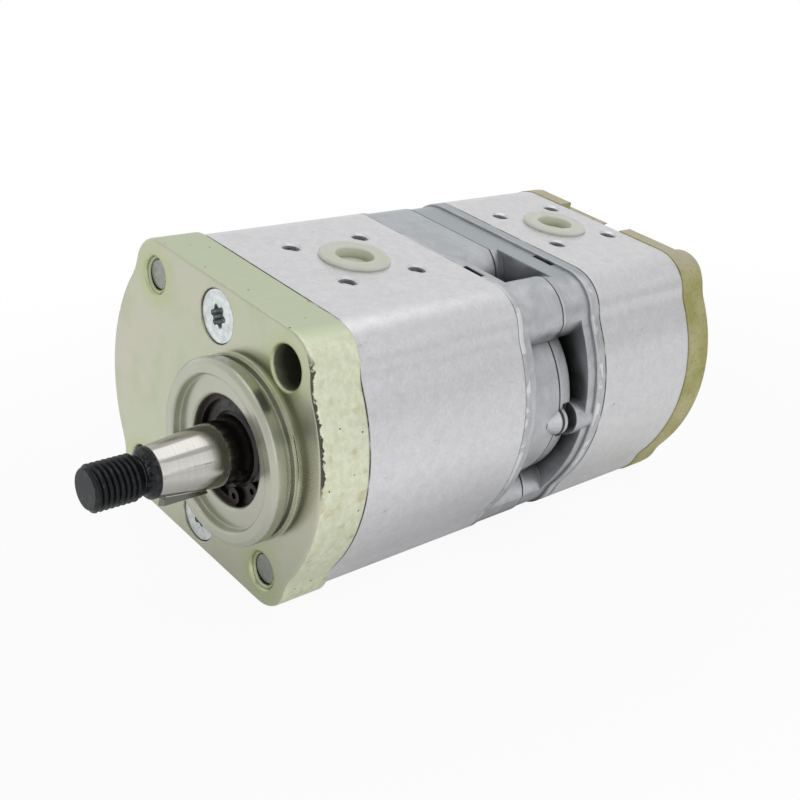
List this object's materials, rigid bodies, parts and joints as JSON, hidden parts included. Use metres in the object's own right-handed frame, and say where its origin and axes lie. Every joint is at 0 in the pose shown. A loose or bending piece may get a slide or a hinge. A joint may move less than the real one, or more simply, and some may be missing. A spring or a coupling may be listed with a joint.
{
  "type": "tandem hydraulic gear pump",
  "caption": "Tandem external gear pump with a pilot flange, a keyed taper shaft and plugged outlet ports, its stages joined by a coupling between the castings.",
  "frame": {"origin": "centre of the pilot, on the mounting face of the front flange", "axes": "+Y runs back along the drive shaft's line, away from the engine; +Z points towards the outlet ports; +X points to the side nearest the drive shaft"},
  "size_m": [0.0988, 0.2081, 0.0811],
  "materials": {
    "chromated_steel": "zinc plated, pale yellow-green chromate",
    "extruded_aluminium": "satin, fine extruded skin",
    "cast_aluminium": "die-cast, matt",
    "chromated_iron": "cast, olive-yellow chromate",
    "hardened_steel": "ground",
    "zinc_screws": "bright zinc",
    "spring_steel": "dark phosphated",
    "seal_rubber": "moulded",
    "bearing_lining": "sintered bronze",
    "bearing_aluminium": "machined",
    "plug_plastic": "natural polyethylene, slightly see-through"
  },
  "bodies": {
    "housing": {"front_flange": "chromated_steel", "shaft_seal": "seal_rubber", "seal_retaining_ring": "spring_steel", "flange_screws": "zinc_screws", "front_tie_bolts": "zinc_screws", "front_pump_body": "extruded_aluminium", "front_outer_bearing_block": "bearing_aluminium", "front_inner_bearing_block": "bearing_aluminium", "front_bearing_bushes": "bearing_lining", "front_outer_axial_seal": "seal_rubber", "front_inner_axial_seal": "seal_rubber", "front_outer_case_seal": "seal_rubber", "front_inner_case_seal": "seal_rubber", "front_end_casting": "cast_aluminium", "stage_shaft_seal": "seal_rubber", "casting_screws": "zinc_screws", "rear_front_casting": "cast_aluminium", "dowel_pins": "hardened_steel", "rear_pump_body": "extruded_aluminium", "rear_front_bearing_block": "bearing_aluminium", "rear_back_bearing_block": "bearing_aluminium", "rear_bearing_bushes": "bearing_lining", "rear_front_axial_seal": "seal_rubber", "rear_back_axial_seal": "seal_rubber", "rear_front_case_seal": "seal_rubber", "rear_back_case_seal": "seal_rubber", "rear_cover": "chromated_iron", "rear_tie_bolts": "zinc_screws", "cover_screws": "zinc_screws"},
    "drive_shaft": {"drive_shaft": "hardened_steel", "woodruff_key": "hardened_steel"},
    "front_driven_gear": {"front_driven_gear": "hardened_steel"},
    "drive_coupling": {"drive_coupling": "hardened_steel"},
    "rear_drive_gear": {"rear_drive_gear": "hardened_steel"},
    "rear_driven_gear": {"rear_driven_gear": "hardened_steel"},
    "front_outlet_plug": {"front_outlet_plug": "plug_plastic"},
    "rear_outlet_plug": {"rear_outlet_plug": "plug_plastic"}
  },
  "joints": [
    {"name": "drive_shaft_spin", "type": "hinge", "parent": "housing", "child": "drive_shaft", "pos_m": [0, 0, 0], "axis": [0, 1, 0], "continuous": true},
    {"name": "front_driven_gear_spin", "type": "hinge", "parent": "housing", "child": "front_driven_gear", "pos_m": [-0.034, 0, 0], "axis": [0, 1, 0], "continuous": true},
    {"name": "coupling_spin", "type": "hinge", "parent": "housing", "child": "drive_coupling", "pos_m": [0, 0, 0], "axis": [0, 1, 0], "continuous": true},
    {"name": "rear_drive_gear_spin", "type": "hinge", "parent": "housing", "child": "rear_drive_gear", "pos_m": [0, 0, 0], "axis": [0, 1, 0], "continuous": true},
    {"name": "rear_driven_gear_spin", "type": "hinge", "parent": "housing", "child": "rear_driven_gear", "pos_m": [-0.034, 0, 0], "axis": [0, 1, 0], "continuous": true},
    {"name": "front_plug_pull", "type": "slide", "parent": "housing", "child": "front_outlet_plug", "axis": [0, 0, 1], "range_m": [0, 0.02]},
    {"name": "rear_plug_pull", "type": "slide", "parent": "housing", "child": "rear_outlet_plug", "axis": [0, 0, 1], "range_m": [0, 0.02]}
  ],
  "couplings": [
    {"joint": "front_driven_gear_spin", "follows": "drive_shaft_spin", "ratio": -1},
    {"joint": "coupling_spin", "follows": "drive_shaft_spin", "ratio": 1},
    {"joint": "rear_drive_gear_spin", "follows": "drive_shaft_spin", "ratio": 1},
    {"joint": "rear_driven_gear_spin", "follows": "drive_shaft_spin", "ratio": -1}
  ]
}
